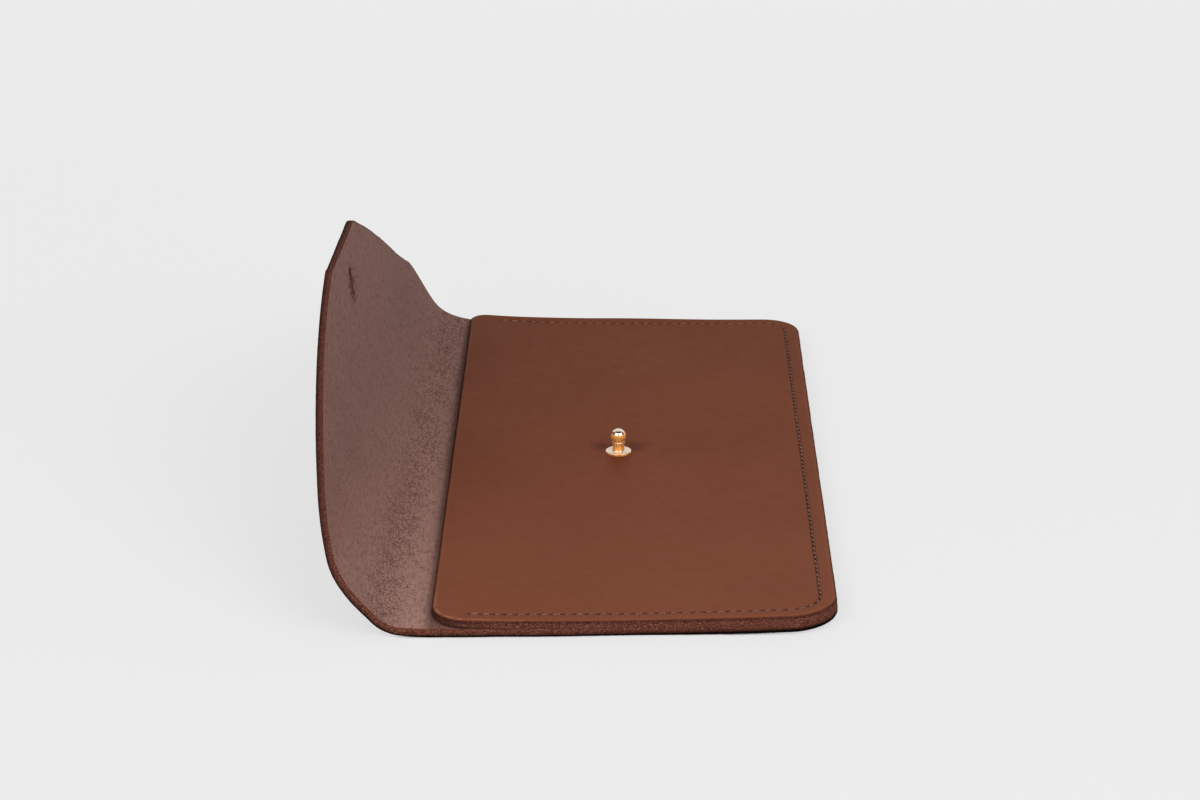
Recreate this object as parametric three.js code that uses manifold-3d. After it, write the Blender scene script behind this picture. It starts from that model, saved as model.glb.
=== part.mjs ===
// Document holder: a flat leather pocket sewn round three sides. Its back runs on past the open
// mouth as a flap, which stands bent up, and the flap's keyhole buttons over a ball stud in the front.
//
// Millimetres, +Z up. The origin is the middle of the pocket's underside, on the surface it lies on.
// +X runs from the mouth to the closed end, and +Y to the far side.
import * as THREE from "three";
import { mergeVertices } from "three/addons/utils/BufferGeometryUtils.js";
import Module from "manifold-3d";

const wasm = await Module();
wasm.setup();

// Driving dimensions
const pocket = { width: 114, depth: 256, endRadius: 12, mouthRadius: 10, mouthBulge: 0.8 };
const leather = { thickness: 2.2, gap: 0.3 };
const flap = { length: 88, shoulder: 33.4, shoulderRadius: 15, tipWidth: 39, tipRadius: 3 };
const keyhole = { fromTip: 9.5, diameter: 3.2, slitLength: 6.5, slitWidth: 0.8 };
const stud = { fromMouth: 51.75, flangeDiameter: 8, flangeHeight: 0.6, neckDiameter: 3.6, ballDiameter: 4.8,
  height: 7.4, boreDepth: 4.2 };
const screw = { headDiameter: 7, headHeight: 0.8, shankDiameter: 2, reach: 3.6 };

// The pocket lies flat in a band along its middle. From there each run of the leather is an arc,
// given by its length and by the degrees it turns up at the near and at the far side.
const flatBand = 24;
const endRun = (pocket.width - flatBand) / 2;
const mouthBends = [
  { run: endRun, near: 0, far: 6.1 },
  { run: 9, near: 5.8, far: 18.9 },
  { run: 9, near: 41.7, far: 32.2 },
  { run: 14, near: 1.6, far: 11.4 },
  { run: 18, near: 20.9, far: 27.5 },
  { run: 38, near: -1.7, far: 5.4 },
];
const closedBends = [{ run: endRun, near: 5.5, far: 0 }];

// Mesh fineness
const columns = 16;
const arcSteps = 6;
const pocketStep = 7;
const flapStep = 3;
const roundSides = 32;

const mouthEnd = pocket.width / 2;
const tipEnd = mouthEnd + flap.length;
const halfDepth = pocket.depth / 2;
const studAlong = mouthEnd - stud.fromMouth;

// Where the leather's outer face is, and how far it has turned up, at a distance along it from the
// pocket's middle, positive towards the mouth, on the line across at y.
function bendAt(along, y) {
  const towardsMouth = along >= 0;
  const heading = towardsMouth ? -1 : 1;
  const share = THREE.MathUtils.clamp(y / pocket.depth + 0.5, 0, 1);
  const flatLength = Math.min(Math.abs(along), flatBand / 2);
  const place = { x: heading * flatLength, z: 0, angle: 0 };
  let left = Math.abs(along) - flatLength;
  for (const bend of towardsMouth ? mouthBends : closedBends) {
    const run = Math.min(left, bend.run);
    const turn = THREE.MathUtils.degToRad(THREE.MathUtils.lerp(bend.near, bend.far, share)) * run / bend.run;
    const chord = turn === 0 ? run : run * Math.sin(turn / 2) / (turn / 2);
    place.x += heading * chord * Math.cos(place.angle + turn / 2);
    place.z += chord * Math.sin(place.angle + turn / 2);
    place.angle += turn;
    left -= run;
  }
  place.angle *= -heading;
  return place;
}

// A point at a height over the outer face, square to the leather.
function sheetPoint(along, y, height) {
  const { x, z, angle } = bendAt(along, y);
  return new THREE.Vector3(x + height * Math.sin(angle), y, z + height * Math.cos(angle));
}

// One side of a sheet's outline, its corners rounded by arcs. Each station has its distance along
// the leather and the half width there, and no two lie further apart than the step.
function halfOutline(corners, step) {
  const stations = [];
  const addTo = (end) => {
    const start = stations.at(-1) ?? end;
    const parts = Math.max(1, Math.ceil((end.x - start.x) / step(end.x)));
    for (let part = 1; part <= parts; part += 1) {
      stations.push(start.clone().lerp(end, part / parts));
    }
  };
  for (let index = 1; index < corners.length - 1; index += 1) {
    const { along, half, radius } = corners[index];
    const corner = new THREE.Vector2(along, half);
    const toNeighbour = (other) => new THREE.Vector2(other.along, other.half).sub(corner).normalize();
    const before = toNeighbour(corners[index - 1]);
    const after = toNeighbour(corners[index + 1]);
    const halfAngle = Math.acos(before.dot(after)) / 2;
    const inward = before.clone().add(after).normalize();
    const centre = corner.clone().addScaledVector(inward, radius / Math.sin(halfAngle));
    const first = corner.clone().addScaledVector(before, radius / Math.tan(halfAngle)).sub(centre);
    const sweep = Math.PI - 2 * halfAngle;
    for (let part = 0; part <= arcSteps; part += 1) {
      const spoke = first.clone().rotateAround(new THREE.Vector2(), -sweep * part / arcSteps);
      addTo(centre.clone().add(spoke));
    }
  }
  return stations;
}

// A closed sheet over an outline: a grid of rows along the leather and columns across it, at the
// heights that lower and upper give, joined round the rim.
function sheetGeometry(stations, lower, upper) {
  const positions = [];
  const triangles = [];
  for (const height of [lower, upper]) {
    for (const { x: along, y: half } of stations) {
      for (let column = 0; column <= columns; column += 1) {
        const y = half * (2 * column / columns - 1);
        positions.push(...sheetPoint(along, y, height(along, y)).toArray());
      }
    }
  }
  const lastRow = stations.length - 1;
  const layerSize = stations.length * (columns + 1);
  const at = (row, column) => row * (columns + 1) + column;
  const addQuad = (a, b, c, d) => triangles.push(a, b, c, a, c, d);
  const rim = [];
  for (let row = 0; row < lastRow; row += 1) {
    for (let column = 0; column < columns; column += 1) {
      const quad = [at(row, column), at(row, column + 1), at(row + 1, column + 1), at(row + 1, column)];
      addQuad(...quad.map((index) => index + layerSize));
      addQuad(...quad.toReversed());
    }
  }
  for (let column = 0; column < columns; column += 1) rim.push(at(0, column));
  for (let row = 0; row < lastRow; row += 1) rim.push(at(row, columns));
  for (let column = columns; column > 0; column -= 1) rim.push(at(lastRow, column));
  for (let row = lastRow; row > 0; row -= 1) rim.push(at(row, 0));
  rim.forEach((from, index) => {
    const to = rim[(index + 1) % rim.length];
    addQuad(from + layerSize, from, to, to + layerSize);
  });
  const geometry = new THREE.BufferGeometry();
  geometry.setAttribute("position", new THREE.Float32BufferAttribute(positions, 3));
  geometry.setIndex(triangles);
  return geometry;
}

function toSolid(geometry) {
  const bare = geometry.clone();
  bare.deleteAttribute("normal");
  bare.deleteAttribute("uv");
  const merged = mergeVertices(bare);
  return new wasm.Manifold(new wasm.Mesh({
    numProp: 3,
    vertProperties: new Float32Array(merged.attributes.position.array),
    triVerts: new Uint32Array(merged.index.array),
  }));
}

function toGeometry(solid) {
  const { vertProperties, triVerts } = solid.getMesh();
  const geometry = new THREE.BufferGeometry();
  geometry.setAttribute("position", new THREE.BufferAttribute(vertProperties, 3));
  geometry.setIndex(new THREE.BufferAttribute(triVerts, 1));
  geometry.computeVertexNormals();
  return geometry;
}

// A body turned about Z, from pairs of a radius and a height that start and end on the axis.
function turned(profile) {
  const points = profile.map(([radius, height]) => new THREE.Vector2(radius, height));
  return new THREE.LatheGeometry(points, roundSides).rotateX(Math.PI / 2);
}

function turnedRod(diameter, bottom, top) {
  const radius = diameter / 2;
  return turned([[0, bottom], [radius, bottom], [radius, top], [0, top]]);
}

// Back panel and flap, with the keyhole cut square through the flap.
function backPanel() {
  const corners = [
    { along: -mouthEnd, half: 0 },
    { along: -mouthEnd, half: halfDepth, radius: pocket.endRadius },
    { along: mouthEnd + flap.shoulder, half: halfDepth, radius: flap.shoulderRadius },
    { along: tipEnd, half: flap.tipWidth / 2, radius: flap.tipRadius },
    { along: tipEnd, half: 0 },
  ];
  const stations = halfOutline(corners, (along) => (along > mouthEnd ? flapStep : pocketStep));
  const sheet = sheetGeometry(stations, () => 0, () => leather.thickness);
  return toGeometry(toSolid(sheet).subtract(toSolid(keyholeCutter())));
}

function keyholeCutter() {
  const radius = keyhole.diameter / 2;
  const halfSlit = keyhole.slitWidth / 2;
  const openingAngle = Math.asin(halfSlit / radius);
  const slitEnd = -radius - keyhole.slitLength;
  const shape = new THREE.Shape();
  shape.absarc(0, 0, radius, openingAngle - Math.PI / 2, 1.5 * Math.PI - openingAngle, false);
  shape.lineTo(-halfSlit, slitEnd);
  shape.lineTo(halfSlit, slitEnd);
  shape.closePath();
  const along = tipEnd - keyhole.fromTip;
  const { angle } = bendAt(along, 0);
  const across = new THREE.Vector3(0, 1, 0);
  const forward = new THREE.Vector3(-Math.cos(angle), 0, Math.sin(angle));
  const outOfLeather = new THREE.Vector3().crossVectors(across, forward);
  const placed = new THREE.Matrix4().makeBasis(across, forward, outOfLeather);
  placed.setPosition(sheetPoint(along, 0, -leather.thickness));
  const cutter = new THREE.ExtrudeGeometry(shape, {
    depth: 3 * leather.thickness,
    bevelEnabled: false,
    curveSegments: roundSides,
  });
  return cutter.applyMatrix4(placed);
}

// Height of the front's inner face: clear of the back, and eased up in the middle of the mouth.
function frontLower(along, y) {
  const towardsMouth = THREE.MathUtils.smoothstep(along, -mouthEnd, mouthEnd);
  const fromSides = 1 - (y / halfDepth) ** 2;
  return leather.thickness + leather.gap + pocket.mouthBulge * towardsMouth * fromSides;
}

const studSeat = frontLower(studAlong, 0);
const studPlace = sheetPoint(studAlong, 0, studSeat);

// Front panel, drilled for the stud's screw and recessed on the inner face for the screw's head.
function frontPanel() {
  const corners = [
    { along: -mouthEnd, half: 0 },
    { along: -mouthEnd, half: halfDepth, radius: pocket.endRadius },
    { along: mouthEnd, half: halfDepth, radius: pocket.mouthRadius },
    { along: mouthEnd, half: 0 },
  ];
  const upper = (along, y) => frontLower(along, y) + leather.thickness;
  const sheet = sheetGeometry(halfOutline(corners, () => pocketStep), frontLower, upper);
  const clearance = 2 * leather.gap;
  const hole = turnedRod(screw.shankDiameter + clearance, -leather.thickness, 2 * leather.thickness);
  const recess = turnedRod(screw.headDiameter + clearance, -leather.thickness, screw.headHeight + leather.gap);
  const drill = toSolid(hole).add(toSolid(recess)).translate(studPlace.toArray());
  return toGeometry(toSolid(sheet).subtract(drill));
}

// Stud: flange, neck and ball turned in one piece, with a blind bore up from below.
function studBody() {
  const flange = stud.flangeDiameter / 2;
  const neck = stud.neckDiameter / 2;
  const ball = stud.ballDiameter / 2;
  const bore = screw.shankDiameter / 2 + leather.gap;
  const ballCentre = stud.height - ball;
  const neckTop = Math.asin(neck / ball);
  const ballSteps = 10;
  const profile = [
    [0, stud.boreDepth],
    [bore, stud.boreDepth],
    [bore, 0],
    [flange, 0],
    [flange, stud.flangeHeight],
    [neck, stud.flangeHeight],
  ];
  for (let step = 0; step <= ballSteps; step += 1) {
    const angle = THREE.MathUtils.lerp(neckTop, Math.PI, step / ballSteps);
    profile.push([step === ballSteps ? 0 : ball * Math.sin(angle), ballCentre - ball * Math.cos(angle)]);
  }
  return turned(profile);
}

// Screw: a flat head in the recess and a plain shank up into the stud.
function screwBody() {
  const head = screw.headDiameter / 2;
  const shank = screw.shankDiameter / 2;
  const shankTop = leather.thickness + leather.gap + screw.reach;
  return turned([[0, 0], [head, 0], [head, screw.headHeight], [shank, screw.headHeight],
    [shank, shankTop], [0, shankTop]]);
}

const grain = new THREE.MeshStandardMaterial({ color: 0x70422f, roughness: 0.55, metalness: 0 });
const brass = new THREE.MeshStandardMaterial({ color: 0xd9a868, roughness: 0.15, metalness: 1 });
const holder = new THREE.Group();

function addPiece(name, geometry, material) {
  const piece = new THREE.Mesh(geometry, material.clone());
  piece.name = name;
  holder.add(piece);
  return piece;
}

addPiece("back_panel", backPanel(), grain);
addPiece("front_panel", frontPanel(), grain);
const studPiece = addPiece("stud", studBody(), brass);
studPiece.position.copy(studPlace);
studPiece.position.z += leather.thickness + leather.gap;
addPiece("stud_screw", screwBody(), brass).position.copy(studPlace);

export default holder;
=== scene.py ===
"""Looks of the leather document holder: two cut panels, the sewn seam and the brass ball stud.

Sizes are in millimetres and angles in degrees. The leather is described flat: p runs from the flap's tip to
the closed end, y along the pocket, and h up from the outer face of the back. bent() lays that flat leather as
it lies.
"""
import math

import bpy
import numpy as np
from mathutils import Matrix, Vector, geometry


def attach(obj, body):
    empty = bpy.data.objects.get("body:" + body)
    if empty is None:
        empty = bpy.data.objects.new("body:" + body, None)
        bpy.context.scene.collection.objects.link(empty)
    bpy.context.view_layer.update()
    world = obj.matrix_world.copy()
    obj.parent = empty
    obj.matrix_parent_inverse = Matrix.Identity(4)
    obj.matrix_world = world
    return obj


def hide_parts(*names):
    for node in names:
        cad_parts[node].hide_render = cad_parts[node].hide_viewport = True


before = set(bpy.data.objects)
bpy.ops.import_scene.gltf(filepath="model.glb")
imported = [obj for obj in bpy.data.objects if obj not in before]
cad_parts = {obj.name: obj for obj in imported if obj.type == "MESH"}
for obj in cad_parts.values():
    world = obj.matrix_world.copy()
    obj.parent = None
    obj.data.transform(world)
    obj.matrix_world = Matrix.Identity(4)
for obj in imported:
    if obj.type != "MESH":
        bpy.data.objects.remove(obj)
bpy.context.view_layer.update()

MM = 0.001

# Driving sizes: the construction's, fitted a little closer to the photograph.
POCKET = {"width": 114.0, "depth": 256.0, "near_end_radius": 14.0, "far_end_radius": 12.0,
          "near_mouth_radius": 10.0, "far_mouth_radius": 6.5, "mouth_reach": 0.6, "near_skew": 0.56}
LEATHER = {"thickness": 2.28, "gap": 0.03}
FLAP = {"length": 88.0, "shoulder": 33.4, "shoulder_radius": 16.8, "tip_width": 39.0,
        "near_tip": (0.6, -22.0, 4.0), "far_tip": (-0.15, 19.8, 10.0)}
KEYHOLE = {"from_tip": 10.7, "aside": 2.3, "radius": 1.3, "ring_points": 48, "slit": 8.0, "slit_aside": 0.4,
           "half_slit": 0.12, "end_share": 0.6, "spacing": 0.16, "passes": 3, "normal_passes": 30, "reach": 0.4}
STUD = {"p": -5.25, "hole_radius": 1.3, "hole_sides": 40, "recess_radius": 3.8, "recess": 1.2,
        "dimple": 0.25, "dimple_radius": 5.5}
SEAM = {"inset": 4.8, "pitch": 3.3, "from_mouth": 10.0, "lead_out": 2.0, "lead_in": 0.5,
        "groove": 0.14, "groove_width": 0.6, "groove_dark": 0.72, "groove_fade": 0.5, "end_width": 0.8,
        "hole_depth": 0.6, "hole_length": 0.62, "hole_width": 0.36, "slant": 30.0,
        "near_fade": 0.26, "far_fade": 0.7}

HALF_WIDTH = POCKET["width"] / 2
HALF_DEPTH = POCKET["depth"] / 2
MOUTH = -HALF_WIDTH
TIP = MOUTH - FLAP["length"]
FLAT_BAND = 12.0
TIP_CURL = {"lean": 2.15, "from_tip": 36.0, "power": 1.5}
SEEDS = {"front_ripple": 3, "back_ripple": 5, "thread": 11, "front_edge": 21, "back_edge": 22}

# The unevenness of the lying leather: how far each form goes, and the places between which it grows.
BULGE = 1.0
FAR_GAPE = {"height": 0.62, "grows": (-32.0, 8.0), "falls": (22.0, 56.0), "fall": 0.76,
            "from_edge": (6.5, 0.5)}
NEAR_GAPE = {"height": 0.5, "from_mouth": 22.0, "from_edge": 38.0}
NEAR_FLARE = {"reach": 0.7, "grows": (-5.0, 30.0), "width": 1.5}
CORNER_SWELL = {"height": 0.55, "grows": (-12.0, 28.0), "from_edge": 40.0}
RIPPLE = {"height": 0.045, "waves": (95.0, 61.0, 37.0, 23.0), "from_edge": (2.0, 14.0), "by_mouth": 8.0}
CREASE = {"past_mouth": 12.0, "slant": 0.035, "width": 9.0}

# How the leather turns up on each side of the flat band: a run of leather, its turn at the near and the far
# side, and how much more it turns in the middle.
MOUTH_BENDS = (
    {"run": 45.0, "near": 0.0, "middle": 0.0, "far": 6.0},
    {"run": 9.0, "near": 5.9, "middle": 0.0, "far": 18.7},
    {"run": 9.0, "near": 41.3, "middle": 0.0, "far": 32.8},
    {"run": 14.0, "near": 0.7, "middle": 5.1, "far": 11.6},
    {"run": 18.0, "near": 20.9, "middle": -4.5, "far": 20.5},
    {"run": 38.0, "near": -1.5, "middle": -3.9, "far": 23.4},
)
CLOSED_BENDS = ({"run": 45.0, "near": 3.0, "middle": 0.0, "far": 0.0},)


def smoothstep(value, low, high):
    share = np.clip((value - low) / (high - low), 0.0, 1.0)
    return share * share * (3.0 - 2.0 * share)


def bell(value, width):
    return np.exp(-(value / width) ** 2)


# The leather as it lies.
def travel(distance, share, bends):
    """Level travel, rise and turn of the outer face after a distance of leather past the flat band."""
    level = np.zeros_like(distance)
    rise = np.zeros_like(distance)
    angle = np.zeros_like(distance)
    done = 0.0
    for bend in bends:
        run = np.clip(distance - done, 0.0, bend["run"])
        straight = bend["near"] + (bend["far"] - bend["near"]) * share
        across = straight + 4.0 * bend["middle"] * share * (1.0 - share)
        turn = np.radians(across) * run / bend["run"]
        chord = run * np.sinc(turn / (2.0 * np.pi))
        level += chord * np.cos(angle + turn / 2.0)
        rise += chord * np.sin(angle + turn / 2.0)
        angle += turn
        done += bend["run"]
    return level, rise, angle


def bent(p, y, h):
    """Places in the frame, in metres, of points of the flat leather."""
    share = np.clip(y / POCKET["depth"] + 0.5, 0.0, 1.0)
    mouth_level, mouth_rise, mouth_angle = travel(np.maximum(-p - FLAT_BAND, 0.0), share, MOUTH_BENDS)
    end_level, end_rise, end_angle = travel(np.maximum(p - FLAT_BAND, 0.0), share, CLOSED_BENDS)
    x = np.clip(p, -FLAT_BAND, FLAT_BAND) - mouth_level + end_level
    z = mouth_rise + end_rise
    angle = mouth_angle - end_angle
    curled = h - tip_curl(p, y)
    near = np.clip(-y / HALF_DEPTH, 0.0, 1.0) ** 2
    skewed = y + POCKET["near_skew"] * np.clip(p / HALF_WIDTH, -1.0, 1.0) * near
    return np.stack([x + curled * np.sin(angle), skewed, z + curled * np.cos(angle)], -1) * MM


def tip_curl(p, y):
    """How far the far corner of the flap's tip leans outwards."""
    near_tip = np.clip(1.0 - (p - TIP) / TIP_CURL["from_tip"], 0.0, 1.0)
    to_far = np.clip(y / FLAP["tip_width"] + 0.5, 0.0, 1.0)
    return TIP_CURL["lean"] * near_tip ** TIP_CURL["power"] * to_far


# Outlines on the flat leather.
LEAST_CORNER_STEPS = 8


class Loop:
    """A closed line on the flat leather, with the normals that point out of the leather."""

    EDGE_ZONE = 1.8

    def __init__(self, points, normals, reach=1.0):
        self.points = points
        self.normals = normals
        self.reach = np.broadcast_to(reach, len(points))

    def inset(self, distance):
        """The line moved into the leather, past the edge zone less far where the outline turns tightly."""
        deep = max(distance - self.EDGE_ZONE, 0.0)
        moved = min(distance, self.EDGE_ZONE) + deep * self.reach
        return self.points - self.normals * moved[:, None]


def rounded_loop(corners, spacing):
    """The outline through rounded corners (p, y, radius), with the leather on its left."""
    points = []
    normals = []
    places = np.array([corner[:2] for corner in corners])
    ahead = np.roll(places, -1, 0) - places
    ahead /= np.linalg.norm(ahead, axis=1)[:, None]
    starts = []
    ends = []
    for number, (p, y, radius) in enumerate(corners):
        came = ahead[number - 1]
        goes = ahead[number]
        half_turn = math.acos(np.clip(came @ goes, -1.0, 1.0)) / 2.0
        starts.append(np.array([p, y]) - came * radius * math.tan(half_turn))
        ends.append(np.array([p, y]) + goes * radius * math.tan(half_turn))
    for number, (p, y, radius) in enumerate(corners):
        came = ahead[number - 1]
        goes = ahead[number]
        first = math.atan2(-came[0], came[1])
        turn = math.acos(np.clip(came @ goes, -1.0, 1.0))
        centre = starts[number] + radius * np.array([-came[1], came[0]])
        steps = max(int(round(radius * turn / spacing)), LEAST_CORNER_STEPS)
        angles = first + turn * np.arange(steps) / steps
        outward = np.stack([np.cos(angles), np.sin(angles)], 1)
        points.append(centre + radius * outward)
        normals.append(outward)
        line = starts[(number + 1) % len(corners)] - ends[number]
        steps = max(int(round(np.linalg.norm(line) / spacing)), 1)
        points.append(ends[number] + line * (np.arange(steps) / steps)[:, None])
        normals.append(np.tile([goes[1], -goes[0]], (steps, 1)))
    return np.concatenate(points), np.concatenate(normals)


def softened_loop(corners, spacing, passes, normal_passes):
    """A closed line through many corners, walked evenly and rounded by averaging, with outward normals."""
    closed = np.vstack([corners, corners[:1]])
    walked = np.concatenate([[0.0], np.cumsum(np.linalg.norm(np.diff(closed, axis=0), axis=1))])
    at = np.linspace(0.0, walked[-1], int(walked[-1] / spacing), endpoint=False)
    points = np.stack([np.interp(at, walked, closed[:, axis]) for axis in (0, 1)], 1)
    for _ in range(passes):
        points = 0.5 * points + 0.25 * (np.roll(points, 1, 0) + np.roll(points, -1, 0))
    along = np.roll(points, -1, 0) - np.roll(points, 1, 0)
    for _ in range(normal_passes):
        along = 0.5 * along + 0.25 * (np.roll(along, 1, 0) + np.roll(along, -1, 0))
    along /= np.linalg.norm(along, axis=1)[:, None]
    return points, np.stack([along[:, 1], -along[:, 0]], 1)


# Where an outline turns tightly, its inner rows go in less far: the least share, and where it grows to 1.
FAR_CORNER_ROWS = {"least": 0.6, "from_corner": (5.0, 9.5)}
TIP_ROWS = {"least": 0.15, "from_tip": (15.0, 50.0)}


def grown(least, value, low, high):
    """A share that grows from its least to 1."""
    return least + (1.0 - least) * smoothstep(value, low, high)


def front_loop(spacing):
    mouth = MOUTH - POCKET["mouth_reach"]
    corners = [
        (mouth, -HALF_DEPTH, POCKET["near_mouth_radius"]),
        (HALF_WIDTH, -HALF_DEPTH, POCKET["near_end_radius"]),
        (HALF_WIDTH, HALF_DEPTH, POCKET["far_end_radius"]),
        (mouth, HALF_DEPTH, POCKET["far_mouth_radius"]),
    ]
    points, normals = rounded_loop(corners, spacing)
    from_corner = np.hypot(points[:, 0] - mouth, points[:, 1] - HALF_DEPTH)
    reach = grown(FAR_CORNER_ROWS["least"], from_corner, *FAR_CORNER_ROWS["from_corner"])
    return Loop(points, normals, reach)


def back_loop(spacing):
    shoulder = MOUTH - FLAP["shoulder"]
    near_tip = (TIP + FLAP["near_tip"][0], *FLAP["near_tip"][1:])
    far_tip = (TIP + FLAP["far_tip"][0], *FLAP["far_tip"][1:])
    corners = [
        (shoulder, -HALF_DEPTH, FLAP["shoulder_radius"]),
        (HALF_WIDTH, -HALF_DEPTH, POCKET["near_end_radius"]),
        (HALF_WIDTH, HALF_DEPTH, POCKET["far_end_radius"]),
        (shoulder, HALF_DEPTH, FLAP["shoulder_radius"]),
        far_tip,
        near_tip,
    ]
    points, normals = rounded_loop(corners, spacing)
    reach = grown(TIP_ROWS["least"], points[:, 0] - TIP, *TIP_ROWS["from_tip"])
    return Loop(points, normals, reach)


def keyhole_loop():
    """The round hole and its slit, walked clockwise so that the leather is outside."""
    radius = KEYHOLE["radius"]
    half = KEYHOLE["half_slit"]
    middle = np.array([TIP + KEYHOLE["from_tip"], KEYHOLE["aside"]])
    opening = math.asin(half / radius)
    angles = np.linspace(opening, 2.0 * math.pi - opening, KEYHOLE["ring_points"])[::-1]
    ring = middle + radius * np.stack([np.cos(angles), np.sin(angles)], 1)
    end = middle + np.array([KEYHOLE["slit"], KEYHOLE["slit_aside"]])
    end_side = (0.0, half * KEYHOLE["end_share"])
    slit = np.array([end + end_side, end + (half, 0.0), end - end_side])
    walk = (KEYHOLE[name] for name in ("spacing", "passes", "normal_passes"))
    points, normals = softened_loop(np.vstack([ring, slit]), *walk)
    return Loop(points, normals, KEYHOLE["reach"])


def round_hole_loop(p, y, radius, sides):
    angles = np.linspace(0.0, -2.0 * math.pi, sides, endpoint=False)
    outward = np.stack([np.cos(angles), np.sin(angles)], 1)
    return Loop(np.array([p, y]) + radius * outward, -outward)


# The sewn line. An outline runs straight along a side where its normal points along y by more than this share.
STRAIGHT_SIDE = 0.99


class Seam:
    """The stitch line at its inset from the front's outline, from the near mouth round the closed end."""

    def __init__(self, loop):
        self.line = loop.points - loop.normals * SEAM["inset"]
        self.normals = loop.normals
        self.place = seam_places(loop)
        far = (loop.normals[:, 1] > STRAIGHT_SIDE) & (loop.points[:, 0] > MOUTH + SEAM["from_mouth"])
        run = self.place[far].max()
        self.count = int(round(run / SEAM["pitch"]))
        self.pitch = run / self.count

    def at(self, place, across):
        """Flat points at distances along the line, moved across it towards the edge."""
        line = [np.interp(place, self.place, self.line[:, axis]) for axis in (0, 1)]
        normal = [np.interp(place, self.place, self.normals[:, axis]) for axis in (0, 1)]
        return line[0] + normal[0] * across, line[1] + normal[1] * across

    def press(self, place, inset):
        """How far the sewing presses the leather in, and the share of painted shade in its holes and groove,
        from 0 to 1.
        """
        run = self.count * self.pitch
        begun = smoothstep(place, -SEAM["lead_out"], SEAM["lead_in"])
        sewn = begun * (1.0 - smoothstep(place, run - SEAM["lead_in"], run + SEAM["lead_out"]))
        number = np.clip(np.round(place / self.pitch), 0, self.count)
        along = place - number * self.pitch
        across = SEAM["inset"] - inset
        slant = math.radians(SEAM["slant"])
        length = along * math.cos(slant) + across * math.sin(slant)
        width = across * math.cos(slant) - along * math.sin(slant)
        hole = bell(length, SEAM["hole_length"]) * bell(width, SEAM["hole_width"])
        groove = bell(across, SEAM["groove_width"]) * sewn
        # Painted shade: weaker along the near and the far side, and the groove's dark line narrower at the
        # closed end.
        side = np.interp(place, self.place, self.normals[:, 1])
        faded = np.where(side < 0.0, -SEAM["near_fade"] * side, SEAM["far_fade"] * side)
        dark_width = SEAM["groove_width"] * (SEAM["end_width"] + (1.0 - SEAM["end_width"]) * np.abs(side))
        groove_dark = SEAM["groove_dark"] * (1.0 - SEAM["groove_fade"] * faded)
        dark = np.maximum(hole * (1.0 - faded), groove_dark * bell(across, dark_width) * sewn)
        return SEAM["groove"] * groove + SEAM["hole_depth"] * hole, dark


def seam_places(loop):
    """How far along the stitch line each point of an outline lies, from the first hole at the near mouth."""
    line = loop.points - loop.normals * SEAM["inset"]
    walked = np.concatenate([[0.0], np.cumsum(np.linalg.norm(np.diff(line, axis=0), axis=1))])
    near = loop.normals[:, 1] < -STRAIGHT_SIDE
    start = np.interp(MOUTH + SEAM["from_mouth"], line[near, 0], walked[near])
    return walked - start


# Heights of the faces above the outer face of the back.
def ripple(p, y, seed):
    """The faint unevenness of a cut hide, about 0.1 mm high."""
    draw = np.random.default_rng(seed)
    total = np.zeros_like(p)
    longest = RIPPLE["waves"][0]
    for wave in RIPPLE["waves"]:
        heading = draw.uniform(0.0, math.pi)
        phase = draw.uniform(0.0, 2.0 * math.pi)
        walked = p * math.cos(heading) + y * math.sin(heading)
        total += wave / longest * np.sin(2.0 * math.pi * walked / wave + phase)
    return RIPPLE["height"] * total


def back_lower(p, y):
    return np.zeros_like(p)


def back_upper(p, y):
    free = smoothstep(MOUTH - p, -RIPPLE["by_mouth"], RIPPLE["by_mouth"])
    return LEATHER["thickness"] + free * ripple(p, y, SEEDS["back_ripple"])


def front_lower(p, y):
    to_mouth = smoothstep(-p, MOUTH, -MOUTH)
    bulge = BULGE * to_mouth ** 2 * (1.0 - (y / HALF_DEPTH) ** 2)
    flat_to, full_from = (HALF_DEPTH - inset for inset in FAR_GAPE["from_edge"])
    fallen = FAR_GAPE["fall"] * smoothstep(-p, *FAR_GAPE["falls"])
    gaping = smoothstep(-p, *FAR_GAPE["grows"]) * (1.0 - fallen)
    far_gape = FAR_GAPE["height"] * gaping * smoothstep(y, flat_to, full_from)
    by_mouth = smoothstep(-p, HALF_WIDTH - NEAR_GAPE["from_mouth"], HALF_WIDTH)
    near_corner = by_mouth * smoothstep(-y, HALF_DEPTH - NEAR_GAPE["from_edge"], HALF_DEPTH)
    return LEATHER["thickness"] + LEATHER["gap"] + bulge + far_gape + NEAR_GAPE["height"] * near_corner


def front_upper(p, y):
    from_stud = np.hypot(p - STUD["p"], y)
    from_side = smoothstep(HALF_DEPTH - np.abs(y), *RIPPLE["from_edge"])
    inner = from_side * smoothstep(HALF_WIDTH - np.abs(p), *RIPPLE["from_edge"])
    dimple = STUD["dimple"] * bell(from_stud, STUD["dimple_radius"])
    by_side = smoothstep(-y, HALF_DEPTH - CORNER_SWELL["from_edge"], HALF_DEPTH)
    swell = CORNER_SWELL["height"] * smoothstep(p, *CORNER_SWELL["grows"]) * by_side
    rippled = inner * ripple(p, y, SEEDS["front_ripple"])
    return front_lower(p, y) + LEATHER["thickness"] + swell + rippled - dimple


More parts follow.
